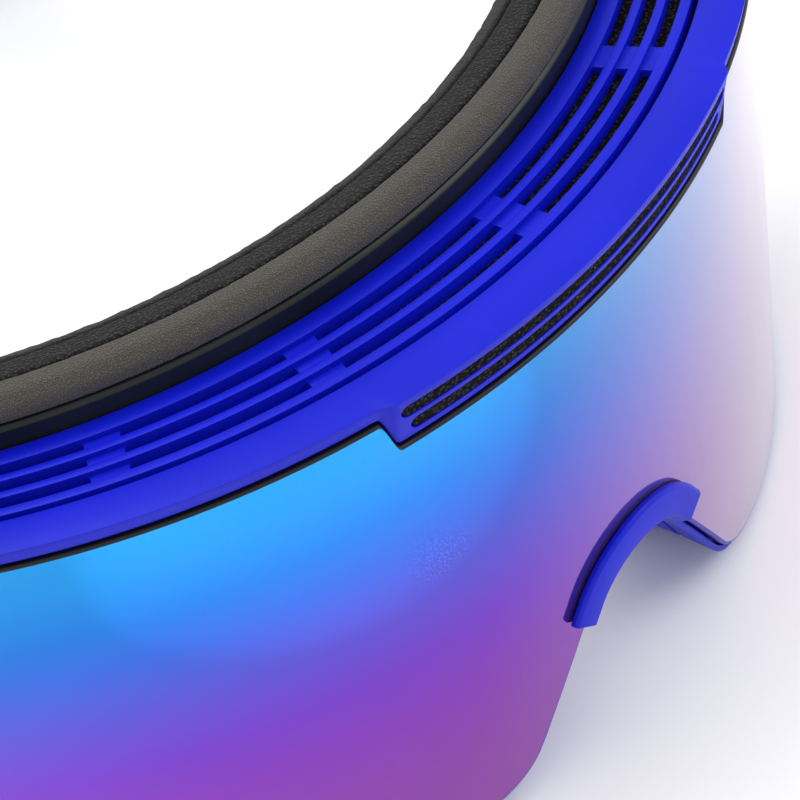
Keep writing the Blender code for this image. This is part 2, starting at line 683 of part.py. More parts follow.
def make_strap_side(side, name):
    """The end of the strap, folded round the outrigger's bar and sewn to itself behind it."""
    x = strap_middle_x()
    bar_front, bar_back = ARM_END_Y - BAR_WIDTH, ARM_END_Y
    half = ARM_THICKNESS / 2 + GAP
    fold = half + STRAP_THICKNESS
    front = bar_front - GAP - STRAP_THICKNESS
    seam = STRAP_START_Y - GAP
    doubled = STRAP_THICKNESS
    outer = [(x - doubled, seam), (x - doubled, seam - 5 * MM), (x - fold, bar_back), (x - fold, front + 1 * MM),
             (x - fold + 1 * MM, front), (x + fold - 1 * MM, front), (x + fold, front + 1 * MM),
             (x + fold, bar_back), (x + doubled, seam - 5 * MM), (x + doubled, seam)]
    hole = [(x - half, bar_front - GAP), (x + half, bar_front - GAP), (x + half, bar_back + GAP),
            (x - half, bar_back + GAP)]
    wide = STRAP_WIDTH / 2
    low, high = SIDE_HEIGHT - wide, SIDE_HEIGHT + wide
    end = add_object(f"strap_end_{name}", prism([(side * a, b) for a, b in outer], "Z", low, high), "strap")
    bar = prism([(side * a, b) for a, b in hole], "Z", low - 5 * MM, high + 5 * MM)
    combine(end, add_object(f"bar_space_{name}", bar), "DIFFERENCE")


def make_adjuster(side, name):
    """A slider round the strap: a flat loop with two windows and a bar between them on the outside."""
    slope = atan2(STRAP_DROP, STRAP_BACK_Y - STRAP_START_Y)
    middle = Vector((side * strap_middle_x(), ADJUSTER_Y, strap_height(ADJUSTER_Y)))
    tilt = Matrix.Translation(world(middle)) @ Matrix.Rotation(-slope, 4, "X")
    slot_height = STRAP_WIDTH * cos(slope) + 2 * GAP
    slot_width = STRAP_THICKNESS + 2 * GAP

    def box(size, shift=(0, 0, 0)):
        bm = bmesh.new()
        scale = Matrix.Diagonal((*size, 1))
        bmesh.ops.create_cube(bm, size=1, matrix=tilt @ Matrix.Translation(shift) @ scale)
        return bm

    outside = (slot_width + 2 * ADJUSTER_WALL, ADJUSTER_LENGTH, slot_height + 2 * 2.5 * MM)
    body = add_object(f"adjuster_{name}", box(outside), "black_plastic", middle)
    tunnel = add_object(f"adjuster_slot_{name}", box((slot_width, 3 * ADJUSTER_LENGTH, slot_height)))
    combine(body, tunnel, "DIFFERENCE")
    reach = slot_width / 2 + ADJUSTER_WALL
    for i, shift in enumerate((-3.6 * MM, 3.6 * MM)):
        opening = box((2 * ADJUSTER_WALL, 3.6 * MM, slot_height - 3 * MM), (side * reach, shift, 0))
        combine(body, add_object(f"adjuster_window_{name}_{i}", opening), "DIFFERENCE")


clear_scene()
goggles = new_collection("ski_goggles")
cutters = new_collection("cutters", hidden=True)
stations = make_stations()
make_cassette()
make_rear_frame()
make_magnets()
make_face_foam()
for side, name in ((1, "right"), (-1, "left")):
    make_outrigger(side, name)
    make_strap_side(side, name)
    make_adjuster(side, name)
make_strap()
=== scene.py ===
"""Ski goggles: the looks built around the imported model. Lengths are in metres.

The frame is drawn flat, as arc along the front, height above the frame's top and depth behind the front
edge, and then bent round the face. bend() does the bending.
"""

from math import atan2, cos, pi, radians, sin

import bmesh
import bpy
from mathutils import Matrix, Vector, noise
from mathutils.geometry import interpolate_bezier


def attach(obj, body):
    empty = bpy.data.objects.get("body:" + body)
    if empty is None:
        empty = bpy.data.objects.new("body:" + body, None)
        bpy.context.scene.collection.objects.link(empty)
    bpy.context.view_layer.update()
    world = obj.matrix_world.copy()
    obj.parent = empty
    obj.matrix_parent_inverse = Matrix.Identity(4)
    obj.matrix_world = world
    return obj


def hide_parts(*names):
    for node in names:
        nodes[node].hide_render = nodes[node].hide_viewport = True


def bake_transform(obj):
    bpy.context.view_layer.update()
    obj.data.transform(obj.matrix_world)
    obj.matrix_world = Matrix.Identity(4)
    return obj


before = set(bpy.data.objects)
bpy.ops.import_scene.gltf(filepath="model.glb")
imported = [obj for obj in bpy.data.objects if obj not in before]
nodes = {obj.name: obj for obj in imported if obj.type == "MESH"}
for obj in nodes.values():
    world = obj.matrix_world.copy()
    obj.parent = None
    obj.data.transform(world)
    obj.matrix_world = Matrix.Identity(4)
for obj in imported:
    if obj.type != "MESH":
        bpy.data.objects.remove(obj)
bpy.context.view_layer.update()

MM = 0.001

# The frame and lens
FRONT_RADIUS, LENS_LEAN, LEAN_TURN, SIDE_TAPER = 100 * MM, 0.083, 0.65, 0.55
FRAME_DEPTH, LOBE_HEIGHT = 20.6 * MM, -78.8 * MM
TOP_EDGE, RIM_EDGE, RIM_FRONT, NOSE_FLARE = 2.2 * MM, 1.2 * MM, 2.0 * MM, 0.2
GAP = 0.3 * MM
BAND_DEPTH, BAND_WALL, REAR_WALL, REAR_FRONT = 7.0 * MM, 1.8 * MM, 2.2 * MM, 8.0 * MM
LENS_FRONT, LENS_THICKNESS, LENS_EDGE_GAP = 1.0 * MM, 1.2 * MM, 0.6 * MM
LEDGE_FRONT, LEDGE_BACK, LEDGE_WIDTH = 3.4 * MM, 4.2 * MM, 2.8 * MM
VENT_HALF, VENT_STEP, VENT_DROP, VENT_PROUD = 32.3 * MM, 2.2 * MM, 5.1 * MM, 0.9 * MM
VENT_SLOTS = ((-2.35 * MM, 31.8 * MM), (-5.15 * MM, 30.6 * MM))
VENT_SLOT_HEIGHT = 2.0 * MM
RIB_WIDTH, SLOT_WIDTH, OUTER_RIB, SLOT_ROWS = 1.2 * MM, 2.0 * MM, 1.4 * MM, 3
BRIDGES = (-37.2, -20.3, 0, 20.3, 37.2)
BRIDGE_WIDTH, BRIDGE_DROP = 5.0 * MM, 0.8 * MM
GRILLE_END, GRILLE_THICKNESS = 87.3 * MM, 4.2 * MM
CARRIER_THICKNESS, BASE_FOAM, MIDDLE_FOAM, FLEECE = 1.6 * MM, 3.7 * MM, 4.2 * MM, 2.8 * MM
FOAM_BULGE, FOAM_INSET, CARRIER_RIM = 9.0 * MM, 4.5 * MM, 0.6 * MM
NOSE_BULGE = 1.6 * MM
FOAM_WAVES = 900
SPACER_THICKNESS, INNER_LENS_THICKNESS = 2.0 * MM, 0.8 * MM
BRIDGE_DEEP, CLIP_HALF, CLIP_PROUD = 3.9 * MM, 10.5 * MM, 0.4 * MM

# The sides and the strap
SIDE_HEIGHT = -35 * MM
HINGE_X, HINGE_Y = 89.5 * MM, -24 * MM
ARM_X, ARM_THICKNESS, ARM_END_Y, ARM_HEIGHT = 90.5 * MM, 3.2 * MM, 13 * MM, 46 * MM
BAR_WIDTH, WINDOW_WIDTH, WINDOW_HEIGHT = 4 * MM, 4 * MM, 41.5 * MM
KNUCKLE_RADIUS, KNUCKLE_HEIGHT, LUG_HEIGHT = 3.2 * MM, 11 * MM, 22 * MM
BORE_RADIUS, KNUCKLE_GAP_RADIUS = 1.5 * MM, 4.2 * MM
COVER_THICKNESS, COVER_CORNER = 1.2 * MM, 2.4 * MM
STRAP_WIDTH, STRAP_THICKNESS = 40 * MM, 1.6 * MM
STRAP_START_Y, STRAP_STRAIGHT_Y, STRAP_BACK_Y, STRAP_SQUARENESS = 24.3 * MM, 70 * MM, 150 * MM, 2.5
STRAP_X = ARM_X + ARM_THICKNESS / 2
ADJUSTER_Y, ADJUSTER_LENGTH, ADJUSTER_WALL = 45 * MM, 15 * MM, 1.8 * MM
STRAP_JOIN_Y, FOLD_START_Y, FOLD_END_Y, BEND_END_Y = 40 * MM, 19.5 * MM, 24.8 * MM, 25.5 * MM
STITCH_ROWS, STITCH_PITCH = (20.6 * MM, 22.0 * MM, 23.8 * MM), 2.4 * MM
SQUARE = ((-1, -1), (1, -1), (1, 1), (-1, 1))
FLOOR = LOBE_HEIGHT - RIM_EDGE
STRAP_DROP = SIDE_HEIGHT - STRAP_WIDTH / 2 - FLOOR
MIDDLE_Y = (STRAP_BACK_Y + STRAP_THICKNESS / 2 - FRONT_RADIUS) / 2
ORIGIN_SHIFT = Vector((0, -MIDDLE_Y, -FLOOR))


# ---------------------------------------------------------------- node materials

def add_node(tree, kind, inputs=None, **settings):
    """Adds a shader node; an input is a value or another node's output socket."""
    made = tree.nodes.new(kind)
    for name, value in settings.items():
        setattr(made, name, value)
    for name, value in (inputs or {}).items():
        if isinstance(value, bpy.types.NodeSocket):
            tree.links.new(value, made.inputs[name])
        else:
            made.inputs[name].default_value = value
    return made


def new_material(name):
    material = bpy.data.materials.new(name)
    material.use_nodes = True
    tree = material.node_tree
    return material, tree, tree.nodes["Principled BSDF"]


def set_shader(tree, shader, **inputs):
    for name, value in inputs.items():
        socket = shader.inputs[name.replace("_", " ")]
        if isinstance(value, bpy.types.NodeSocket):
            tree.links.new(value, socket)
        else:
            socket.default_value = value


def coordinates(tree):
    return add_node(tree, "ShaderNodeTexCoord").outputs["Object"]


def noise_of(tree, where, scale, detail=3.0, roughness=0.55):
    inputs = {"Vector": where, "Scale": scale, "Detail": detail, "Roughness": roughness}
    return add_node(tree, "ShaderNodeTexNoise", inputs).outputs["Fac"]


def ramp(tree, value, stops):
    """A colour ramp over (position, colour) stops."""
    made = add_node(tree, "ShaderNodeValToRGB", {"Fac": value})
    elements = made.color_ramp.elements
    while len(elements) < len(stops):
        elements.new(0.5)
    for element, (position, color) in zip(elements, stops):
        element.position = position
        element.color = (*color, 1)
    return made.outputs["Color"]


def spread(tree, value, low, high, start=0.0):
    """Maps start..1 to low..high."""
    inputs = {"Value": value, "From Min": start, "To Min": low, "To Max": high}
    return add_node(tree, "ShaderNodeMapRange", inputs).outputs["Result"]


def bump(tree, height, distance, strength=1.0, normal=None):
    inputs = {"Height": height, "Distance": distance, "Strength": strength}
    if normal:
        inputs["Normal"] = normal
    return add_node(tree, "ShaderNodeBump", inputs).outputs["Normal"]


def moulded(name, dark, light, roughness, grain=1600, depth=0.012 * MM, gloss=0.5):
    """Moulded plastic or rubber: a fine spark-eroded grain and slightly uneven colour and gloss."""
    material, tree, shader = new_material(name)
    where = coordinates(tree)
    cloud = noise_of(tree, where, 55)
    fine = noise_of(tree, where, grain, 2)
    set_shader(tree, shader, Base_Color=ramp(tree, cloud, ((0.3, dark), (0.7, light))),
               Roughness=spread(tree, fine, roughness - 0.05, roughness + 0.07),
               Normal=bump(tree, fine, depth))
    shader.inputs["Specular IOR Level"].default_value = gloss
    return material


def open_foam(name, dark, light, cell, depth, sheen=0.0):
    """Open-cell foam: pits the size of its cells, with paler walls between them."""
    material, tree, shader = new_material(name)
    where = coordinates(tree)
    inputs = {"Vector": where, "Scale": 1 / cell, "Randomness": 1.0}
    cells = add_node(tree, "ShaderNodeTexVoronoi", inputs, feature="F1").outputs["Distance"]
    crumbs = noise_of(tree, where, 2.2 / cell, 3, 0.7)
    relief = add_node(tree, "ShaderNodeMath", {0: cells, 1: crumbs}, operation="MULTIPLY_ADD")
    relief.inputs[2].default_value = 0.0
    tree.links.new(cells, relief.inputs[2])
    shade = ramp(tree, relief.outputs["Value"], ((0.15, light), (0.75, dark)))
    hollow = spread(tree, relief.outputs["Value"], 1.0, 0.0)
    set_shader(tree, shader, Base_Color=shade, Roughness=0.95, Normal=bump(tree, hollow, depth),
               Sheen_Weight=sheen, Sheen_Roughness=0.6)
    shader.inputs["Specular IOR Level"].default_value = 0.15
    return material


def fleece_material():
    """Brushed fleece: a short curled pile with small clumps."""
    material, tree, shader = new_material("brushed_fleece")
    where = coordinates(tree)
    clumps = noise_of(tree, where, 700, 4, 0.75)
    pile = noise_of(tree, where, 2600, 3, 0.8)
    relief = add_node(tree, "ShaderNodeMath", {0: clumps, 1: pile}, operation="ADD").outputs["Value"]
    shade = ramp(tree, pile, ((0.35, (0.010, 0.010, 0.011)), (0.7, (0.034, 0.035, 0.037))))
    set_shader(tree, shader, Base_Color=shade, Roughness=1.0, Normal=bump(tree, relief, 0.35 * MM),
               Sheen_Weight=0.12, Sheen_Roughness=0.5)
    shader.inputs["Specular IOR Level"].default_value = 0.1
    return material


def webbing_material():
    """Elastic webbing: ribs along the strap crossed by fine picks, with a paler stripe near each edge."""
    material, tree, shader = new_material("elastic_webbing")
    woven = add_node(tree, "ShaderNodeAttribute", attribute_name="weave").outputs["Vector"]
    parts = add_node(tree, "ShaderNodeSeparateXYZ", {"Vector": woven})

    def ripple(socket, pitch, phase=0.0):
        turned = add_node(tree, "ShaderNodeMath", {0: socket, 1: 2 * pi / pitch, 2: phase},
                          operation="MULTIPLY_ADD").outputs["Value"]
        return add_node(tree, "ShaderNodeMath", {0: turned}, operation="SINE").outputs["Value"]

    ribs = ripple(parts.outputs["Y"], 1.25 * MM)
    picks = ripple(parts.outputs["X"], 0.8 * MM)
    crossed = add_node(tree, "ShaderNodeMath", {0: ribs, 1: picks}, operation="MULTIPLY").outputs["Value"]
    relief = add_node(tree, "ShaderNodeMath", {0: crossed, 1: ribs}, operation="ADD").outputs["Value"]
    shade = ramp(tree, spread(tree, crossed, 0.0, 1.0, -1.0), ((0.0, (0.006, 0.008, 0.055)),
                                                               (1.0, (0.020, 0.030, 0.22))))
    across = add_node(tree, "ShaderNodeMath", {0: parts.outputs["Y"]}, operation="ABSOLUTE").outputs["Value"]
    edge = add_node(tree, "ShaderNodeMath", {0: across, 1: 14.5 * MM, 2: 1.1 * MM}, operation="COMPARE")
    striped = add_node(tree, "ShaderNodeMix", data_type="RGBA")
    tree.links.new(edge.outputs["Value"], striped.inputs[0])
    tree.links.new(shade, striped.inputs[6])
    striped.inputs[7].default_value = (0.16, 0.20, 0.75, 1)
    set_shader(tree, shader, Base_Color=striped.outputs[2], Roughness=0.85,
               Normal=bump(tree, relief, 0.10 * MM), Sheen_Weight=0.06, Sheen_Roughness=0.4)
    shader.inputs["Specular IOR Level"].default_value = 0.15
    return material


LENS_COLORS = ((0.00, (0.000, 0.260, 0.620)), (0.11, (0.000, 0.220, 0.600)), (0.22, (0.000, 0.150, 0.580)),
               (0.31, (0.025, 0.110, 0.590)), (0.42, (0.085, 0.070, 0.560)), (0.55, (0.165, 0.036, 0.520)),
               (0.68, (0.235, 0.036, 0.460)), (0.82, (0.275, 0.050, 0.420)), (1.00, (0.320, 0.070, 0.400)))


def lens_material():
    """The mirror coating: cyan under the brow, through blue and violet to magenta, paler at a glance."""
    material, tree, shader = new_material("mirror_coating")
    place = add_node(tree, "ShaderNodeAttribute", attribute_name="weave").outputs["Vector"]
    parts = add_node(tree, "ShaderNodeSeparateXYZ", {"Vector": place})
    drift = noise_of(tree, coordinates(tree), 12, 2)
    low = spread(tree, drift, -0.02, 0.02)
    drop = add_node(tree, "ShaderNodeMath", {0: parts.outputs["Y"], 1: -1 / 76 / MM, 2: low},
                    operation="MULTIPLY_ADD").outputs["Value"]
    haze = noise_of(tree, coordinates(tree), 420, 3)
    ripple = bump(tree, noise_of(tree, coordinates(tree), 35, 1), 0.004 * MM)
    set_shader(tree, shader, Base_Color=ramp(tree, drop, LENS_COLORS), Metallic=0.92,
               Roughness=spread(tree, haze, 0.045, 0.06), Coat_Weight=0.35, Coat_Roughness=0.02,
               Coat_IOR=1.45, Normal=ripple)
    shader.inputs["Specular IOR Level"].default_value = 0.1
    pale = add_node(tree, "ShaderNodeBsdfPrincipled")
    set_shader(tree, pale, Base_Color=(0.54, 0.49, 0.58, 1), Metallic=0.8, Roughness=0.12)
    glance = add_node(tree, "ShaderNodeLayerWeight", {"Blend": 0.5}).outputs["Facing"]
    risen = add_node(tree, "ShaderNodeMapRange", {"Value": glance, "From Min": 0.44, "From Max": 0.84})
    share = add_node(tree, "ShaderNodeMath", {0: risen.outputs["Result"], 1: 1.3}, operation="POWER")
    mixed = add_node(tree, "ShaderNodeMixShader", {"Fac": share.outputs["Value"]})
    tree.links.new(shader.outputs["BSDF"], mixed.inputs[1])
    tree.links.new(pale.outputs["BSDF"], mixed.inputs[2])
    tree.links.new(mixed.outputs["Shader"], tree.nodes["Material Output"].inputs["Surface"])
    return material


def lens_back_material():
    """The uncoated back of the outer lens, a deep rose tint."""
    material, tree, shader = new_material("lens_tint")
    haze = noise_of(tree, coordinates(tree), 300, 2)
    cloud = noise_of(tree, coordinates(tree), 20, 2)
    shade = ramp(tree, cloud, ((0.3, (0.10, 0.030, 0.050)), (0.7, (0.13, 0.040, 0.070))))
    set_shader(tree, shader, Base_Color=shade, Roughness=spread(tree, haze, 0.05, 0.09), Coat_Weight=0.6,
               Coat_Roughness=0.03)
    return material


def clear_material():
    material, tree, shader = new_material("clear_polycarbonate")
    haze = noise_of(tree, coordinates(tree), 260, 2)
    cloud = noise_of(tree, coordinates(tree), 18, 2)
    shade = ramp(tree, cloud, ((0.3, (0.86, 0.88, 0.90)), (0.7, (0.92, 0.94, 0.96))))
    set_shader(tree, shader, Base_Color=shade, Roughness=spread(tree, haze, 0.02, 0.05),
               Transmission_Weight=1.0, IOR=1.05)
    return material


def steel_material():
    material, tree, shader = new_material("bright_steel")
    where = coordinates(tree)
    brushed = add_node(tree, "ShaderNodeMapping", {"Vector": where, "Scale": (1, 1, 30)}).outputs["Vector"]
    streaks = noise_of(tree, brushed, 260, 3)
    shade = ramp(tree, streaks, ((0.3, (0.42, 0.42, 0.43)), (0.7, (0.62, 0.62, 0.63))))
    set_shader(tree, shader, Base_Color=shade, Metallic=1.0, Roughness=spread(tree, streaks, 0.18, 0.36))
    return material


BLUE = moulded("blue_satin_plastic", (0.0020, 0.0060, 0.42), (0.0028, 0.0085, 0.49), 0.40, gloss=0.18)
BLACK = moulded("black_satin_plastic", (0.010, 0.010, 0.011), (0.016, 0.016, 0.018), 0.38, 1200)
RUBBER = moulded("black_rubber", (0.006, 0.008, 0.008), (0.012, 0.015, 0.015), 0.34, 900, gloss=0.3)
SILICONE = moulded("matt_silicone", (0.015, 0.015, 0.018), (0.024, 0.024, 0.028), 0.5, 700)
FILTER = open_foam("filter_foam", (0.001, 0.001, 0.001), (0.045, 0.045, 0.045), 0.55 * MM, 0.5 * MM)
FOAM_LIGHT = open_foam("grey_open_cell_foam", (0.058, 0.053, 0.046), (0.128, 0.119, 0.105), 0.24 * MM,
                       0.22 * MM, 0.1)
FOAM_DARK = open_foam("charcoal_open_cell_foam", (0.007, 0.007, 0.007), (0.034, 0.035, 0.036), 0.45 * MM,
                      0.30 * MM, 0.05)
FLEECE_PILE = fleece_material()
WEBBING = webbing_material()
COATING = lens_material()
# Near black on the lens's cut edge along the top: a dark edge with painted shade of the gap under the frame's
# lip.
PAINTED_SHADE_LENS_EDGE = moulded("lens_edge_painted_gap_shade", (0.004, 0.004, 0.006), (0.008, 0.008, 0.012), 0.35, 900, gloss=0.3)
LENS_RIM = moulded("tinted_lens_edge", (0.020, 0.016, 0.30), (0.034, 0.024, 0.40), 0.3, 900, gloss=0.3)
LENS_BACK = lens_back_material()
CLEAR = clear_material()
STEEL = steel_material()


# ---------------------------------------------------------------- places on the goggles

def bend(point):
    """From arc, height and depth to the place on the goggles."""
    arc, height, depth = point
    angle = arc / FRONT_RADIUS
    taper = 1 - SIDE_TAPER * (1 - cos(angle))
    inward = min(depth, FRAME_DEPTH) * taper + max(depth - FRAME_DEPTH, 0)
    radius, lean, turned = FRONT_RADIUS - inward, LENS_LEAN * height, LEAN_TURN * angle
    x = radius * sin(angle) + lean * sin(turned)
    y = -radius * cos(angle) - lean * cos(turned)
    return Vector((x, y, height)) + ORIGIN_SHIFT


class Station:
    """A point of the lens outline, with the direction outward from the lens."""

    def __init__(self, before, here, after):
        along = (after - before).normalized()
        self.arc, self.height = here
        self.outward = Vector((-along.y, along.x))

    def at(self, out, depth):
        return Vector((self.arc + out * self.outward.x, self.height + out * self.outward.y, depth))

    def upper(self):
        """1 along the top and the upper sides, falling to 0 along the bottom and the nose."""
        if abs(self.arc) < 60 * MM:
            return 1.0 if self.height > -20 * MM else 0.0
        share = min(max((self.height + 66 * MM) / (26 * MM), 0), 1)
        return share * share * (3 - 2 * share)

    def vent(self):
        """1 over the front vent, 0 elsewhere."""
        if self.height < -20 * MM:
            return 0.0
        share = min(max((VENT_HALF + VENT_STEP - abs(self.arc)) / VENT_STEP, 0), 1)
        return share * share * (3 - 2 * share)


def curve_points(start, handle_in, handle_out, end, steps):
    handles = (Vector((*p, 0)) * MM for p in (start, handle_in, handle_out, end))
    points = interpolate_bezier(*handles, steps + 1)
    return [Vector((p.x, p.y)) for p in points[:-1]]


def line_points(start, end, steps):
    first, last = Vector(start) * MM, Vector(end) * MM
    return [first.lerp(last, i / steps) for i in range(steps)]


def lens_outline():
    """The lens outline from the middle of the top, round by +X, where the wearer's left is, and back."""
    top, lobe = -2.2, LOBE_HEIGHT / MM
    corner, side, cheek = (86, top), (112, -38), (49, lobe)
    inner, notch, clip = (28.4, -76.9), (21.2, -72.2), (10.7, -56.5)
    arch_radius, arch_middle, first = 11.3, -61.0, radians(33.8)
    arch = (arch_radius * cos(first), arch_middle + arch_radius * sin(first))
    points = line_points((0, top), (32.3, top), 12)
    points += line_points((32.3, top), (34.5, top), 6)
    points += line_points((34.5, top), corner, 20)
    points += curve_points(corner, (102, top), (112, -16), side, 16)
    points += curve_points(side, (112, -60), (80, lobe), cheek, 26)
    points += curve_points(cheek, (41, lobe), (34, -78.4), inner, 10)
    points += curve_points(inner, (25.4, -76.1), (22.8, -74.6), notch, 9)
    points += line_points(notch, clip, 7)
    points += line_points(clip, arch, 2)
    for i in range(10):
        angle = first + (pi / 2 - first) * i / 10
        points.append(Vector((arch_radius * cos(angle), arch_middle + arch_radius * sin(angle))) * MM)
    points.append(Vector((0, arch_middle + arch_radius)) * MM)
    return points + [Vector((-p.x, p.y)) for p in reversed(points[1:-1])]


def make_stations():
    loop = lens_outline()
    count = len(loop)
    return [Station(loop[i - 1], loop[i], loop[(i + 1) % count]) for i in range(count)]


stations = make_stations()


def lip_end(station):
    return 0.2 * MM * station.upper() - VENT_DROP * station.vent()


def frame_edge(station, depth):
    bottom = RIM_EDGE - NOSE_FLARE * (min(depth, FRAME_DEPTH) - RIM_FRONT)
    return bottom + (TOP_EDGE - bottom) * station.upper()


# ---------------------------------------------------------------- meshes

def sweep(rows, closed):
    """A skin over rows of points: a closed loop of rows, or an open run of rows with capped ends."""
    bm = bmesh.new()
    grid = [[bm.verts.new(point) for point in row] for row in rows]
    count, around = len(rows), len(rows[0])
    for i in range(count if closed else count - 1):
        here, following = grid[i], grid[(i + 1) % count]
        for j in range(around):
            k = (j + 1) % around
            bm.faces.new((here[j], here[k], following[k], following[j]))
    if not closed:
        bm.faces.new(grid[0])
        bm.faces.new(list(reversed(grid[-1])))
    return bm


def box_mesh(low, high):
    bm = bmesh.new()
    middle = (Vector(low) + Vector(high)) / 2
    size = Matrix.Diagonal((*(Vector(high) - Vector(low)), 1))
    bmesh.ops.create_cube(bm, size=1, matrix=Matrix.Translation(middle) @ size)
    return bm


def push(outline, start, end, axis):
    """A flat outline pushed from start to end along axis 0, 1 or 2; the outline gives the other two."""
    bm = bmesh.new()

    def corner(a, b, level):
        values = [a, b]
        values.insert(axis, level)
        return bm.verts.new(values)

    near = [corner(a, b, start) for a, b in outline]
    far = [corner(a, b, end) for a, b in outline]
    bm.faces.new(near)
    bm.faces.new(list(reversed(far)))
    count = len(near)
    for i in range(count):
        j = (i + 1) % count
        bm.faces.new((near[i], far[i], far[j], near[j]))
    return bm


def new_object(name, bm, material=None):
    bmesh.ops.recalc_face_normals(bm, faces=bm.faces)
    if bm.calc_volume(signed=True) < 0:
        bmesh.ops.reverse_faces(bm, faces=bm.faces)
    mesh = bpy.data.meshes.new(name)
    bm.to_mesh(mesh)
    bm.free()
    obj = bpy.data.objects.new(name, mesh)
    bpy.context.scene.collection.objects.link(obj)
    if material:
        mesh.materials.append(material)
    return obj


def baked(obj):
    """The object's mesh with its modifiers applied, as a bmesh; the object keeps its name and material."""
    bpy.context.view_layer.update()
    bm = bmesh.new()
    bm.from_object(obj, bpy.context.evaluated_depsgraph_get())
    obj.modifiers.clear()
    return bm


def combine(obj, cutters, operation="DIFFERENCE"):
    """Boolean of the object with each cutter, which is then removed."""
    for cutter in cutters:
        modifier = obj.modifiers.new("cut", "BOOLEAN")
        modifier.operation, modifier.object, modifier.solver = operation, cutter, "EXACT"
    bm = baked(obj)
    for cutter in cutters:
        bpy.data.objects.remove(cutter)
    bmesh.ops.remove_doubles(bm, verts=bm.verts, dist=1e-6)
    bmesh.ops.dissolve_limit(bm, angle_limit=radians(0.5), verts=bm.verts, edges=bm.edges)
    bm.to_mesh(obj.data)
    bm.free()


def soften(obj, width, segments=2, angle=35):
    """Rounds the object's edges."""
    modifier = obj.modifiers.new("round", "BEVEL")
    modifier.width, modifier.segments, modifier.limit_method = width, segments, "ANGLE"
    modifier.angle_limit = radians(angle)
    modifier.use_clamp_overlap = True
    bm = baked(obj)
    bm.to_mesh(obj.data)
    bm.free()


def smooth(obj, angle=40):
    mesh = obj.data
    mesh.polygons.foreach_set("use_smooth", [True] * len(mesh.polygons))
    mesh.set_sharp_from_angle(angle=radians(angle))


def bend_object(obj, pitch=2 * MM):
    """Cuts a flat-drawn object into narrow upright strips and bends it round the front of the goggles."""
    bm = bmesh.new()
    bm.from_mesh(obj.data)
    arcs = [vert.co.x for vert in bm.verts]
    first, last = int(min(arcs) / pitch) - 1, int(max(arcs) / pitch) + 1
    for i in range(first, last + 1):
        geometry = bm.verts[:] + bm.edges[:] + bm.faces[:]
        bmesh.ops.bisect_plane(bm, geom=geometry, plane_co=(i * pitch, 0, 0), plane_no=(1, 0, 0), dist=1e-6)
    for vert in bm.verts:
        vert.co = bend(vert.co)
    bm.to_mesh(obj.data)
    bm.free()


def rounded_section(points, radius, steps=2):
    """A section with each corner cut back and rounded."""
    rounded = []
    count = len(points)
    for i in range(count):
        corner, before, after = (Vector(points[j % count]) for j in (i, i - 1, i + 1))
        reach = min(radius, 0.45 * (before - corner).length, 0.45 * (after - corner).length)
        start = corner + (before - corner).normalized() * reach
        end = corner + (after - corner).normalized() * reach
        for k in range(steps + 1):
            t = k / steps
            rounded.append(start.lerp(corner, t).lerp(corner.lerp(end, t), t))
    return rounded


def rounded_plan(corners, radius, steps):
    """The same, as plain pairs."""
    return [(p.x, p.y) for p in rounded_section([Vector(c) for c in corners], radius, steps)]


def flat_ring(section, radius, some=None):
    """A rim along the lens outline, drawn flat, from a section of (outward, depth) corners."""
    rows = [[s.at(*point) for point in rounded_section(section(s), radius)] for s in some or stations]
    return sweep(rows, closed=some is None)


def bent_ring(name, section, radius, material, some=None):
    bm = flat_ring(section, radius, some)
    for vert in bm.verts:
        vert.co = bend(vert.co)
    obj = new_object(name, bm, material)
    smooth(obj)
    return obj


def settle(obj):
    """Moves a straight-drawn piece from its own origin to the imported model's, and smooths it."""
    obj.data.transform(Matrix.Translation(ORIGIN_SHIFT))
    smooth(obj)


def finish_piece(obj, body, slot, *replaced):
    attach(obj, body)
    if replaced:
        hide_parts(*replaced)
    return obj


# ---------------------------------------------------------------- lens cassette

def front_frame_section(station):
    """A lip in front of the lens edge along the top; along the bottom, a rim just behind the lens."""
    upper, vent = station.upper(), station.vent()
    crease = RIM_FRONT + (0.8 * MM - VENT_PROUD * vent - RIM_FRONT) * upper
    face = RIM_FRONT + (1.25 * MM - RIM_FRONT) * upper
    edge, edge_back = frame_edge(station, RIM_FRONT), frame_edge(station, BAND_DEPTH)
    lip = lip_end(station) + GAP * (1 - upper)
    inner = lip_end(station) - LEDGE_WIDTH
    return [(edge, crease), (edge_back, BAND_DEPTH), (edge_back - BAND_WALL, BAND_DEPTH),
            (edge_back - BAND_WALL, LEDGE_BACK), (inner, LEDGE_BACK), (inner, LEDGE_FRONT),
            (lip, LEDGE_FRONT), (lip, face)]


def stadium(middle, half_length, half_height, steps=8):
    """A long slot's outline with round ends."""
    points = []
    for side, start in ((1, -pi / 2), (-1, pi / 2)):
        for i in range(steps + 1):
            angle = start + pi * i / steps
            points.append((side * (half_length - half_height) + half_height * cos(angle),
                           middle + half_height * sin(angle)))
    return points


def make_front_frame():
    rows = [[s.at(*point) for point in front_frame_section(s)] for s in stations]
    shell = new_object("front_frame_shell", sweep(rows, closed=True), BLUE)
    cutters = [new_object("slot", push(stadium(level, half, VENT_SLOT_HEIGHT / 2), -3 * MM, 4.4 * MM, 2))
               for level, half in VENT_SLOTS]
    combine(shell, cutters)
    soften(shell, 0.16 * MM)
    bend_object(shell)
    smooth(shell)
    return finish_piece(shell, "lens_cassette", "frame_blue", "front_frame")


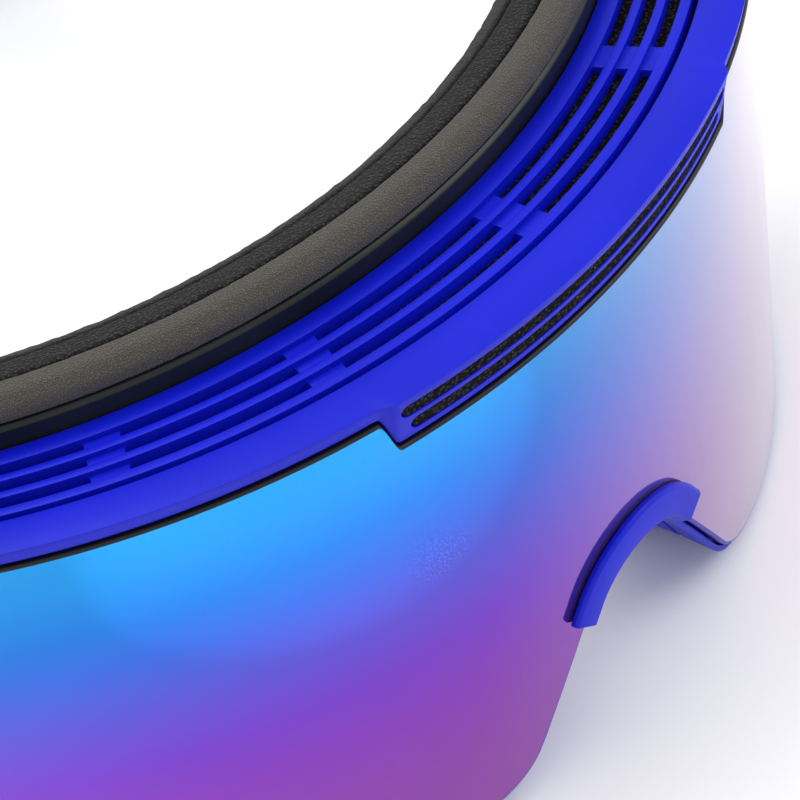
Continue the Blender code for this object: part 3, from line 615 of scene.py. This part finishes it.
def lens_plate(name, inset, front, thickness, materials):
    """A curved plate in the lens outline with rounded edges; its materials are the front's, the top edge's,
    which on the outer lens is near black as painted shade of the gap under the frame's lip, the back's and the
    lower edge's."""
    profile = ((0.45, 0), (0.15, 0.08), (0, 0.3), (0, thickness / MM - 0.3), (0.15, thickness / MM - 0.08),
               (0.45, thickness / MM))
    bm = bmesh.new()
    part_of = bm.faces.layers.int.new("part")
    loops = [[bm.verts.new(s.at(lip_end(s) - inset(s) - cut * MM, front + deep * MM)) for s in stations]
             for cut, deep in profile]
    count = len(stations)
    for near, far in zip(loops, loops[1:]):
        for i in range(count):
            j = (i + 1) % count
            bm.faces.new((near[i], near[j], far[j], far[i]))
    bm.faces.new(loops[0])[part_of] = 1
    bm.faces.new(loops[-1])[part_of] = 2
    pitch = 2.5 * MM
    for axis, first, last in ((0, -48, 48), (1, -33, 2)):
        normal = Vector((axis == 0, axis == 1, 0))
        for i in range(first, last + 1):
            geometry = bm.verts[:] + bm.edges[:] + bm.faces[:]
            bmesh.ops.bisect_plane(bm, geom=geometry, plane_co=normal * i * pitch, plane_no=normal, dist=1e-6)
    flat = []
    for vert in bm.verts:
        flat += [*vert.co]
        vert.co = bend(vert.co)
    for edge in bm.edges:
        edge.smooth = len({face[part_of] for face in edge.link_faces}) == 1
    # Rim faces above this height take the top edge's material; on the outer lens that is near black, painted
    # shade of the gap under the frame's lip.
    top_edge_shade_above = ORIGIN_SHIFT.z - 12 * MM
    for face in bm.faces:
        face.smooth = True
        face.material_index = (1 if face.calc_center_median().z > top_edge_shade_above else 3, 0, 2)[face[part_of]]
    obj = new_object(name, bm)
    for material in materials:
        obj.data.materials.append(material)
    obj.data.attributes.new("weave", "FLOAT_VECTOR", "POINT").data.foreach_set("vector", flat)
    return obj


def make_nose_bridge():
    def section(station):
        reach = min(abs(station.arc) / CLIP_HALF, 1)
        cover = BRIDGE_DEEP + 0.5 * MM * (1 - reach * reach)
        front, back = -CLIP_PROUD, LENS_FRONT - GAP
        hook, hook_back = 0.35 * MM, RIM_FRONT - GAP
        return [(-cover, back), (-cover, front + 0.35 * MM), (0.45 * MM - cover, front), (0.2 * MM, front),
                (RIM_EDGE, hook_back), (hook, hook_back), (hook, back)]

    arch = [s for s in stations if s.height < -48 * MM and abs(s.arc) < 10.9 * MM]
    clip = bent_ring("nose_bridge_clip", section, 0.16 * MM, BLUE, arch)
    return finish_piece(clip, "lens_cassette", "frame_blue", "nose_bridge")


def make_cassette():
    make_front_frame()
    outer = lens_plate("outer_lens_shell", lambda s: LENS_EDGE_GAP * s.upper(), LENS_FRONT, LENS_THICKNESS,
                       (COATING, PAINTED_SHADE_LENS_EDGE, LENS_BACK, LENS_RIM))
    finish_piece(outer, "lens_cassette", "mirror_lens", "outer_lens")
    behind = LENS_FRONT + LENS_THICKNESS + SPACER_THICKNESS + 2 * GAP
    inner = lens_plate("inner_lens_pane", lambda s: LEDGE_WIDTH + GAP, behind, INNER_LENS_THICKNESS,
                       (CLEAR,) * 4)
    finish_piece(inner, "lens_cassette", "clear_lens", "inner_lens")
    make_nose_bridge()


# ---------------------------------------------------------------- rear frame

def rear_frame_section(station):
    front, back = frame_edge(station, REAR_FRONT), frame_edge(station, FRAME_DEPTH)
    wall = REAR_WALL + (GRILLE_THICKNESS - REAR_WALL) * station.upper()
    return [(front, REAR_FRONT), (back, FRAME_DEPTH), (back - wall, FRAME_DEPTH), (front - wall, REAR_FRONT)]


def slot_plans(row, corner):
    """Plans, in arc and depth, of the slots between the bridges in one row of the grille."""
    half = BRIDGE_WIDTH / 2
    middles = [radians(bridge) * FRONT_RADIUS for bridge in BRIDGES]
    starts = [-GRILLE_END] + [middle + half for middle in middles]
    stops = [middle - half for middle in middles] + [GRILLE_END]
    front = REAR_FRONT + OUTER_RIB + row * (SLOT_WIDTH + RIB_WIDTH)
    back = front + SLOT_WIDTH
    return [rounded_plan([(start, front), (stop, front), (stop, back), (start, back)], corner, 3)
            for start, stop in zip(starts, stops)]


def make_rear_frame():
    rows = [[s.at(*point) for point in rear_frame_section(s)] for s in stations]
    shell = new_object("rear_frame_shell", sweep(rows, closed=True), BLUE)
    cutters = []
    for row in range(SLOT_ROWS):
        front = REAR_FRONT + OUTER_RIB + row * (SLOT_WIDTH + RIB_WIDTH)
        back = front + SLOT_WIDTH
        low = (-GRILLE_END - 0.1 * MM, -BRIDGE_DROP, front - 0.01 * MM)
        high = (GRILLE_END + 0.1 * MM, 4 * MM, back + 0.01 * MM)
        cutters.append(new_object("groove", box_mesh(low, high)))
        for plan in slot_plans(row, 0.45 * MM):
            cutters.append(new_object("slot", push(plan, -9 * MM, 1 * MM, 1)))
    combine(shell, cutters)
    soften(shell, 0.14 * MM)
    bend_object(shell)
    smooth(shell)
    finish_piece(shell, "frame", "frame_blue", "rear_frame")
    for side, name in ((1, "right"), (-1, "left")):
        make_lug(side, name)


def filter_pads(name, cutters, body, replaced):
    """Open-cell foam pressed into a row of slots from behind."""
    bm = bmesh.new()
    for part in cutters:
        mesh = bpy.data.meshes.new("pad")
        part.to_mesh(mesh)
        part.free()
        bm.from_mesh(mesh)
        bpy.data.meshes.remove(mesh)
    pads = new_object(name, bm, FILTER)
    bend_object(pads, 1.5 * MM)
    smooth(pads)
    finish_piece(pads, body, "filter_foam", replaced)


def make_filters():
    """Pads behind the front vent's two slots, and one in each slot of the grille."""
    pads = [push(stadium(level, half - GAP, VENT_SLOT_HEIGHT / 2 - 0.02 * MM), front, 6.4 * MM, 2)
            for (level, half), front in zip(VENT_SLOTS, (0.75 * MM, 1.25 * MM))]
    filter_pads("front_vent_foam", pads, "lens_cassette", "front_vent_filter")
    pads = [push(plan, -6.5 * MM, -1.9 * MM, 1)
            for row in range(SLOT_ROWS) for plan in slot_plans(row, 0.47 * MM)]
    filter_pads("top_vent_foam", pads, "frame", "top_vent_filter")


def cylinder_mesh(x, y, low, high, radius, segments=40):
    bm = bmesh.new()
    place = Matrix.Translation((x, y, (low + high) / 2))
    bmesh.ops.create_cone(bm, cap_ends=True, segments=segments, radius1=radius, radius2=radius,
                          depth=high - low, matrix=place)
    return bm


def make_lug(side, name):
    """The hinge lug: a foot on the frame's end and two round eyes about the hinge pin."""
    low, high = SIDE_HEIGHT - LUG_HEIGHT / 2, SIDE_HEIGHT + LUG_HEIGHT / 2
    eye = [(HINGE_X / MM + 3.2 * cos(radians(a)), HINGE_Y / MM + 3.2 * sin(radians(a)))
           for a in range(-30, 151, 10)]
    plan = [(side * x * MM, y * MM) for x, y in [(79.0, -34.8), (83.4, -36.8)] + eye]
    lug = new_object(f"hinge_lug_{name}", push(plan, low, high, 2), BLUE)
    half_gap = KNUCKLE_HEIGHT / 2 + GAP
    gap = cylinder_mesh(side * HINGE_X, HINGE_Y, SIDE_HEIGHT - half_gap, SIDE_HEIGHT + half_gap,
                        KNUCKLE_GAP_RADIUS)
    bore = cylinder_mesh(side * HINGE_X, HINGE_Y, low - 1 * MM, high + 1 * MM, BORE_RADIUS)
    combine(lug, [new_object("gap", gap), new_object("bore", bore)])
    soften(lug, 0.3 * MM)
    settle(lug)
    finish_piece(lug, "frame", "frame_blue", "rear_frame")


# ---------------------------------------------------------------- face foam

def foam_ring(name, section, radius, material, rough, replaced, slot_name):
    """A foam layer behind the frame, its section drawn in with the frame, with an uneven cut surface."""
    rows = []
    for s in stations:
        shift = frame_edge(s, FRAME_DEPTH) - RIM_EDGE - (TOP_EDGE - RIM_EDGE) * s.upper()
        corners = rounded_section(section(s), radius, 4)
        rows.append([bend(s.at(p.x + shift, p.y)) for p in corners])
    bm = sweep(rows, closed=True)
    bmesh.ops.recalc_face_normals(bm, faces=bm.faces)
    if rough:
        bmesh.ops.subdivide_edges(bm, edges=bm.edges[:], cuts=1, use_grid_fill=True)
        bm.normal_update()
        for vert in bm.verts:
            vert.co += vert.normal * rough * noise.noise(vert.co * FOAM_WAVES)
    obj = new_object(name, bm, material)
    smooth(obj, 75)
    return finish_piece(obj, "frame", slot_name, replaced)


def bulge(station):
    """How far the foam stands outside the frame's edge line: most along the top, least at the nose."""
    return NOSE_BULGE + (FOAM_BULGE - NOSE_BULGE) * station.upper()


def carrier_section(station):
    front = FRAME_DEPTH + GAP
    back = front + CARRIER_THICKNESS
    rim = 1.0 * MM + 4.2 * MM * station.upper()
    inner = -FOAM_INSET + 1 * MM
    return [(inner, front), (rim - CARRIER_RIM, front), (rim, front + CARRIER_RIM), (rim, back), (inner, back)]


def base_foam_section(station):
    upper, out = station.upper(), bulge(station)
    front = FRAME_DEPTH + 2 * GAP + CARRIER_THICKNESS
    back = front + BASE_FOAM - 1.6 * MM
    lip_front = front - 0.05 * MM - (CARRIER_THICKNESS + 0.15 * MM) * upper
    lip_under = 1.0 * MM + 4.2 * MM * upper + GAP
    shoulder = max(out - 1.6 * MM, lip_under + 0.1 * MM)
    return [(-FOAM_INSET, front), (lip_under, front), (lip_under, lip_front), (shoulder, lip_front),
            (out, lip_front + 1.4 * MM), (out, back), (-FOAM_INSET, back)]


def layer_section(start, thickness, drop_front, drop_back):
    """A layer of foam behind the base, its outer edge falling away towards the face in a round."""
    def section(station):
        out = bulge(station)
        front = FRAME_DEPTH + 3 * GAP + BASE_FOAM + start
        fall = 0.4 + 0.6 * station.upper()
        return [(-FOAM_INSET, front), (out - drop_front * fall, front),
                (out - drop_back * fall, front + thickness), (-FOAM_INSET, front + thickness)]
    return section


def make_face_foam():
    foam_ring("foam_carrier_rim", carrier_section, 0.3 * MM, RUBBER, 0, "foam_carrier", "black_rubber")
    base = foam_ring("foam_base_layer", base_foam_section, 0.7 * MM, FOAM_LIGHT, 0.06 * MM,
                     "foam_base", "base_foam")
    middle_section = layer_section(0, MIDDLE_FOAM, 0.2 * MM, 1.2 * MM)
    middle = foam_ring("foam_middle_layer", middle_section, 0.9 * MM, FOAM_DARK, 0.10 * MM,
                       "foam_middle", "dark_foam")
    fleece_section = layer_section(MIDDLE_FOAM + GAP, FLEECE, 1.3 * MM, 3.0 * MM)
    fleece = foam_ring("face_fleece_layer", fleece_section, 1.3 * MM, FLEECE_PILE, 0.14 * MM,
                       "face_fleece", "face_fleece")


# ---------------------------------------------------------------- outriggers

def arm_outline():
    """Side view of an outrigger: narrow at the hinge, flared to the strap's width at the bar."""
    start, flare_start, flare_end = HINGE_Y + 1.5 * MM, HINGE_Y + 4.5 * MM, -2 * MM
    narrow, wide, corner = KNUCKLE_HEIGHT / 2, ARM_HEIGHT / 2, 2.5 * MM
    handles = ((flare_start, -narrow), (flare_start + 6 * MM, -narrow),
               (flare_end - 7 * MM, -wide), (flare_end, -wide))
    lower = [Vector((start, -narrow))]
    lower += [Vector((p.x, p.y)) for p in interpolate_bezier(*(Vector((*h, 0)) for h in handles), 18)]
    for i in range(7):
        angle = pi / 2 * i / 6
        lower.append(Vector((ARM_END_Y - corner + corner * sin(angle), corner - wide - corner * cos(angle))))
    upper = [Vector((p.x, -p.y)) for p in reversed(lower)]
    return [(p.x, SIDE_HEIGHT + p.y) for p in lower + upper]


def make_outrigger(side, name):
    body = f"{name}_outrigger"
    inner, outer = side * ARM_X, side * (ARM_X + ARM_THICKNESS)
    arm = new_object(f"outrigger_arm_{name}", push(arm_outline(), inner, outer, 0), BLUE)
    half = KNUCKLE_HEIGHT / 2
    knuckle = cylinder_mesh(side * HINGE_X, HINGE_Y, SIDE_HEIGHT - half, SIDE_HEIGHT + half, KNUCKLE_RADIUS)
    combine(arm, [new_object("knuckle", knuckle)], "UNION")
    half = LUG_HEIGHT / 2
    bore = cylinder_mesh(side * HINGE_X, HINGE_Y, SIDE_HEIGHT - half, SIDE_HEIGHT + half, BORE_RADIUS)
    back, half = ARM_END_Y - BAR_WIDTH, WINDOW_HEIGHT / 2
    corners = [(back - WINDOW_WIDTH, SIDE_HEIGHT - half), (back, SIDE_HEIGHT - half),
               (back, SIDE_HEIGHT + half), (back - WINDOW_WIDTH, SIDE_HEIGHT + half)]
    window = push(rounded_plan(corners, 1 * MM, 4), side * 85 * MM, side * 100 * MM, 0)
    combine(arm, [new_object("bore", bore), new_object("window", window)])
    soften(arm, 0.5 * MM, 3)
    settle(arm)
    finish_piece(arm, body, "frame_blue", f"outrigger_{name}")
    x = side * (ARM_X + ARM_THICKNESS + GAP)
    plate = [(-17, -5), (-3, -15), (3.5, -15), (3.5, 15), (-3, 15), (-17, 5)]
    plan = rounded_plan([(y * MM, SIDE_HEIGHT + z * MM) for y, z in plate], COVER_CORNER, 6)
    cover = new_object(f"outrigger_cap_{name}", push(plan, x, x + side * COVER_THICKNESS, 0), BLACK)
    soften(cover, 0.35 * MM, 3)
    settle(cover)
    finish_piece(cover, body, "black_plastic", f"outrigger_cover_{name}")


# ---------------------------------------------------------------- strap

def strap_height(y):
    """Height of the strap's middle line: level at the outriggers, then falling to the floor behind."""
    return SIDE_HEIGHT - STRAP_DROP * max(y - STRAP_START_Y, 0) / (STRAP_BACK_Y - STRAP_START_Y)


def band_path(start_y):
    """Plan points of the strap's middle line, from the right side round the back to the left."""
    points = [Vector((STRAP_X, start_y + (STRAP_STRAIGHT_Y - start_y) * i / 16)) for i in range(16)]
    steps, back = 120, STRAP_BACK_Y - STRAP_STRAIGHT_Y
    for i in range(steps + 1):
        angle = pi * i / steps
        flat = abs(cos(angle)) ** (2 / STRAP_SQUARENESS)
        across = STRAP_X * flat * (1 if cos(angle) >= 0 else -1)
        behind = back * max(sin(angle), 0) ** (2 / STRAP_SQUARENESS)
        points.append(Vector((across, STRAP_STRAIGHT_Y + behind)))
    return points + [Vector((-p.x, p.y)) for p in reversed(points[:16])]


def webbing(name, path, thickness, width, material, level=0, offset=0, columns=24):
    """A strip of webbing on edge along a plan path, with round edges and its own weave coordinates."""
    section = [(-thickness / 2, -1 + 2 * i / columns) for i in range(columns + 1)]
    section += [(thickness / 2, 1 - 2 * i / columns) for i in range(columns + 1)]
    rows, woven, travelled = [], [], 0
    for i, point in enumerate(path):
        before, after = path[max(i - 1, 0)], path[min(i + 1, len(path) - 1)]
        along = (after - before).normalized()
        outward = Vector((along.y, -along.x))
        travelled += (point - path[i - 1]).length if i else 0
        row = []
        for off, across in section:
            thin = off * (0.35 if abs(across) > 0.999 else 1) + offset
            rise = across * width / 2
            height = strap_height(point.y) + level + rise
            row.append(Vector((*(point + outward * thin), height)) + ORIGIN_SHIFT)
            woven += [travelled, rise, off]
        rows.append(row)
    obj = new_object(name, sweep(rows, closed=False), material)
    obj.data.attributes.new("weave", "FLOAT_VECTOR", "POINT").data.foreach_set("vector", woven)
    smooth(obj, 50)
    return obj


def fold_path(side):
    """From the band forward, round the outrigger's bar and back inside to where it is sewn down."""
    half = ARM_THICKNESS / 2 + GAP + STRAP_THICKNESS / 2
    bar_front, bar_back, ply = ARM_END_Y - BAR_WIDTH, ARM_END_Y, -STRAP_THICKNESS - 0.05 * MM
    length = STRAP_JOIN_Y - FOLD_START_Y
    outer = [Vector((0, STRAP_JOIN_Y - length * i / 15)) for i in range(15)]
    outer += [Vector((p.x, p.y)) for p in interpolate_bezier(
        Vector((0, FOLD_START_Y, 0)), Vector((0, 17 * MM, 0)), Vector((half, 15.6 * MM, 0)),
        Vector((half, bar_back, 0)), 8)]
    front = [Vector((half, bar_front + 0.8 * MM))]
    for i in range(13):
        angle = pi * i / 12
        front.append(Vector((half * cos(angle), bar_front - 0.2 * MM - 1.5 * MM * sin(angle))))
    inner = [Vector((p.x, p.y)) for p in interpolate_bezier(
        Vector((-half, bar_back, 0)), Vector((-half, 15.6 * MM, 0)), Vector((ply, 17 * MM, 0)),
        Vector((ply, FOLD_START_Y, 0)), 8)]
    inner += [Vector((ply, FOLD_START_Y + (FOLD_END_Y - FOLD_START_Y) * i / 6)) for i in range(1, 7)]
    points = outer + front + inner
    return [Vector((side * (STRAP_X + p.x), p.y)) for p in points]


def stitches(name, side):
    """Rows of thread across the fold, on the outside and the inside of the strap."""
    bm = bmesh.new()
    for y in STITCH_ROWS:
        for face_x in (STRAP_X + STRAP_THICKNESS / 2, STRAP_X - 1.5 * STRAP_THICKNESS):
            for i in range(-7, 8):
                middle = Vector((side * face_x, y, strap_height(y) + STITCH_PITCH * i)) + ORIGIN_SHIFT
                shape = Matrix.Translation(middle) @ Matrix.Diagonal((0.16 * MM, 0.28 * MM, 0.85 * MM, 1))
                bmesh.ops.create_uvsphere(bm, u_segments=8, v_segments=6, radius=1, matrix=shape)
    obj = new_object(name, bm, SILICONE)
    smooth(obj, 60)
    return obj


def make_strap():
    band = webbing("strap_webbing_band", band_path(STRAP_JOIN_Y), STRAP_THICKNESS, STRAP_WIDTH, WEBBING)
    finish_piece(band, "frame", "strap_webbing", "strap_band")
    for name, level in (("upper", 9 * MM), ("lower", -9 * MM)):
        path = band_path(STRAP_JOIN_Y)[26:-26]
        grip = webbing(f"silicone_grip_{name}", path, 0.5 * MM, 3 * MM, SILICONE, level,
                       -STRAP_THICKNESS / 2 - 0.27 * MM, 4)
        finish_piece(grip, "frame", "silicone", f"strap_grip_{name}")
    for side, name in ((1, "right"), (-1, "left")):
        fold = webbing(f"strap_fold_{name}", fold_path(side), STRAP_THICKNESS, STRAP_WIDTH, WEBBING)
        thread = stitches(f"strap_thread_{name}", side)
        for piece in (fold, thread):
            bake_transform(piece)
        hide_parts(f"strap_end_{name}")
        make_adjuster(side, name)


def make_adjuster(side, name):
    """A slider round the strap: a flat loop with two windows and a bar between them on the outside."""
    slope = atan2(STRAP_DROP, STRAP_BACK_Y - STRAP_START_Y)
    width = STRAP_THICKNESS + 2 * GAP
    height = STRAP_WIDTH * cos(slope) + 2 * GAP
    outside = Vector((width / 2 + ADJUSTER_WALL, ADJUSTER_LENGTH / 2, height / 2 + 2.5 * MM))
    corners = [(a * outside.y, b * outside.z) for a, b in SQUARE]
    plan = rounded_plan(corners, ADJUSTER_WALL, 6)
    loop = new_object(f"strap_slider_{name}", push(plan, -outside.x, outside.x, 0), BLACK)
    tunnel = box_mesh((-width / 2, -20 * MM, -height / 2), (width / 2, 20 * MM, height / 2))
    cutters = [new_object("tunnel", tunnel)]
    for shift in (-3.6 * MM, 3.6 * MM):
        half = height / 2 - 1.5 * MM
        opening = rounded_plan([(shift + a * 1.8 * MM, b * half) for a, b in SQUARE], 0.8 * MM, 4)
        ends = sorted((0, side * 10 * MM))
        cutters.append(new_object("window", push(opening, ends[0], ends[1], 0)))
    combine(loop, cutters)
    soften(loop, 0.3 * MM, 2)
    middle = Vector((side * STRAP_X, ADJUSTER_Y, strap_height(ADJUSTER_Y))) + ORIGIN_SHIFT
    loop.data.transform(Matrix.Translation(middle) @ Matrix.Rotation(-slope, 4, "X"))
    smooth(loop)
    finish_piece(loop, f"{name}_adjuster", "black_plastic", f"adjuster_{name}")


# ---------------------------------------------------------------- carried-over pieces

def dress_nodes():
    """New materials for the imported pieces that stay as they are."""
    looks = {"lens_seal": RUBBER, "lens_spacer": FILTER, "magnet": STEEL, "hinge_pin": STEEL}
    for name, node in nodes.items():
        for start, material in looks.items():
            if start in name:
                node.data.materials.clear()
                node.data.materials.append(material)


# ---------------------------------------------------------------- stage

def area_light(name, place, target, size, power, color=(1, 1, 1)):
    data = bpy.data.lights.new(name, "AREA")
    data.shape, data.size, data.size_y = "RECTANGLE", *size
    data.energy, data.color = power, color
    light = bpy.data.objects.new(name, data)
    light.location = place
    light.rotation_euler = (Vector(target) - Vector(place)).to_track_quat("-Z", "Y").to_euler()
    bpy.context.scene.collection.objects.link(light)
    return light


def make_stage():
    bm = bmesh.new()
    bmesh.ops.create_grid(bm, x_segments=8, y_segments=8, size=12)
    floor = new_object("floor", bm)
    material, tree, shader = new_material("pale_floor")
    cloud = noise_of(tree, coordinates(tree), 3)
    shade = ramp(tree, cloud, ((0.3, (0.90, 0.90, 0.90)), (0.7, (0.93, 0.93, 0.93))))
    set_shader(tree, shader, Base_Color=shade, Roughness=0.9)
    floor.data.materials.append(material)
    world = bpy.data.worlds.new("studio")
    bpy.context.scene.world = world
    world.use_nodes = True
    background = world.node_tree.nodes["Background"]
    background.inputs["Color"].default_value = (1.0, 1.0, 1.0, 1)
    background.inputs["Strength"].default_value = 0.93
    area_light("key", (-0.2, 0.35, 1.1), (0, -0.05, 0.04), (0.9, 0.9), 8)
    area_light("fill", (0.8, -0.8, 0.9), (0, -0.08, 0.04), (0.9, 0.9), 7)
    pool = area_light("pool", (-0.048, -0.167, 0.45), (-0.048, -0.167, 0), (0.12, 0.015), 0.085)
    pool.rotation_euler = (0, 0, radians(-17))
    pool.data.spread = radians(4)


def make_camera():
    azimuth, elevation, roll = radians(-40.3878), radians(41.7547), radians(15.5505)
    right = Vector((cos(azimuth), sin(azimuth), 0))
    back = Vector((sin(azimuth) * cos(elevation), -cos(azimuth) * cos(elevation), sin(elevation)))
    up = back.cross(right)
    across = cos(roll) * right - sin(roll) * up
    upward = sin(roll) * right + cos(roll) * up
    data = bpy.data.cameras.new("camera")
    data.lens, data.sensor_width = 141.04, 36
    data.clip_start, data.clip_end = 0.01, 20
    camera = bpy.data.objects.new("camera", data)
    turned = Matrix((across, upward, back)).transposed().to_4x4()
    camera.matrix_world = Matrix.Translation((-0.19631, -0.314518, 0.307803)) @ turned
    bpy.context.scene.collection.objects.link(camera)
    bpy.context.scene.camera = camera
    bpy.context.scene.view_settings.view_transform = "Standard"


make_camera()
make_cassette()
make_rear_frame()
make_filters()
make_face_foam()
for side, name in ((1, "right"), (-1, "left")):
    make_outrigger(side, name)
make_strap()
dress_nodes()
make_stage()
